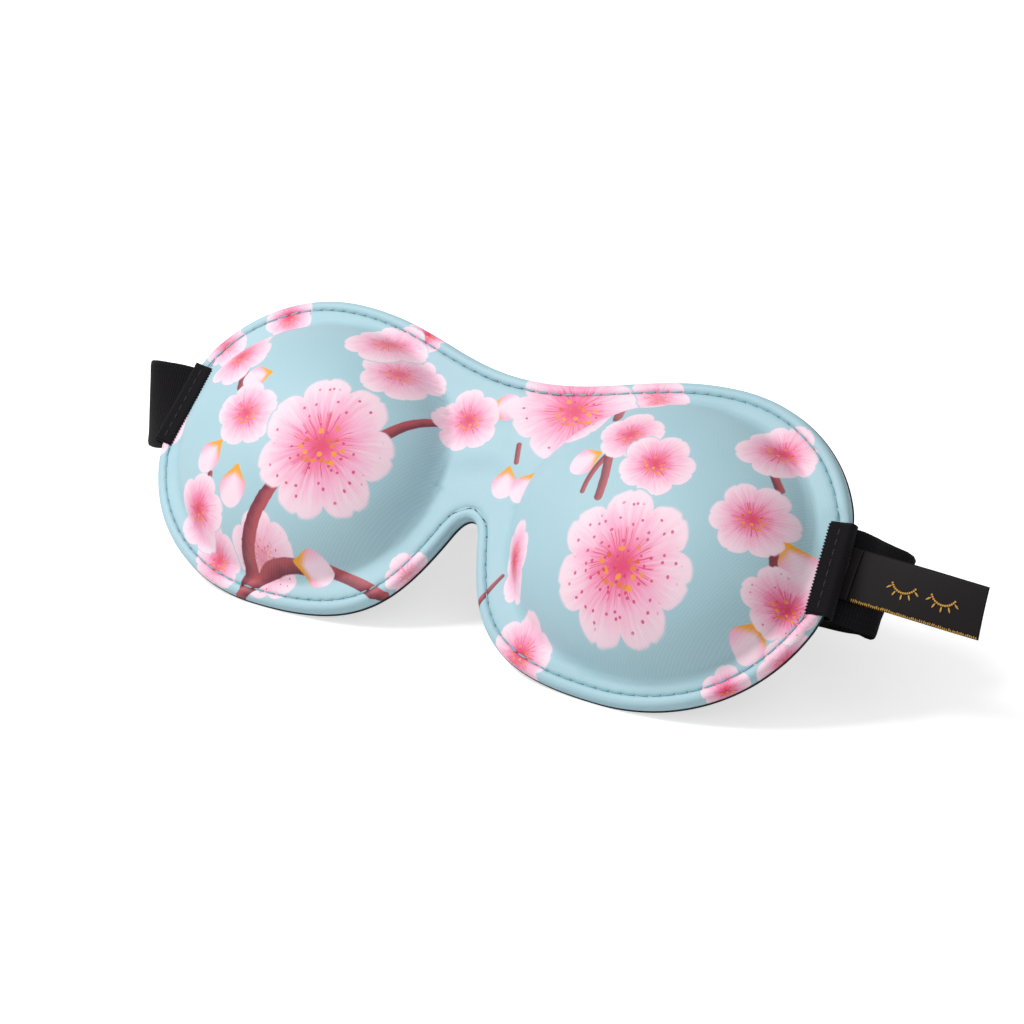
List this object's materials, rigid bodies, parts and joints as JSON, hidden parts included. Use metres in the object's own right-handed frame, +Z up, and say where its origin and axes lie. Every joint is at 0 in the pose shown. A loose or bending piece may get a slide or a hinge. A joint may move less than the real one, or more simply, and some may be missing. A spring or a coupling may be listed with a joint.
{
  "type": "sleep eye mask",
  "caption": "Moulded sleep eye mask with two eye domes, printed satin front, black lining, side label and an adjustable elastic head strap.",
  "frame": {"origin": "on the ground, midway between the two cheek edges that the mask stands on, on the centre line of the nose notch", "axes": "+X along the mask towards the labelled end, +Y back from the printed front towards the head strap, +Z up"},
  "size_m": [0.2659, 0.0991, 0.0704],
  "materials": {
    "printed_satin": "woven satin print",
    "foam": "open-cell moulded foam",
    "black_lining": "matt knit",
    "teal_thread": "thread",
    "black_grosgrain": "ribbed tape",
    "black_thread": "thread",
    "black_elastic": "ribbed elastic",
    "black_plastic": "moulded satin",
    "black_label": "woven satin",
    "gold_thread": "thread"
  },
  "bodies": {
    "mask": {"front_cover": "printed_satin", "foam_core": "foam", "rear_lining": "black_lining", "rim_seam_front": "teal_thread", "rim_seam_rear": "teal_thread", "binding_left": "black_grosgrain", "binding_right": "black_grosgrain", "binding_seam_left": "black_thread", "binding_seam_right": "black_thread", "strap_left": "black_elastic", "strap_right": "black_elastic", "label_tab": "black_label"},
    "rear_strap": {"strap_ring": "black_plastic", "strap_rear_run": "black_elastic", "bar_tack_ring": "black_thread"},
    "adjuster": {"strap_slider": "black_plastic", "bar_tack_slider": "black_thread"},
    "side_label": {"label": "black_label", "label_edging": "gold_thread", "label_motif": "gold_thread"}
  },
  "joints": [
    {"name": "strap_stretch", "type": "slide", "parent": "mask", "child": "rear_strap", "axis": [0, 1, 0], "range_m": [0, 0.06], "stiffness_N_per_m": 90, "deforming": ["strap_left", "strap_right"]},
    {"name": "slider_adjust", "type": "slide", "parent": "rear_strap", "child": "adjuster", "axis": [1, 0, 0], "range_m": [-0.008, 0.012], "deforming": ["strap_rear_run"]},
    {"name": "label_flip", "type": "hinge", "parent": "mask", "child": "side_label", "pos_m": [0.1103, 0.03607, 0.03667], "axis": [0, 0.6639, 0.7478], "range_deg": [-100, 0], "stiffness_Nm_per_rad": 0.0006}
  ]
}
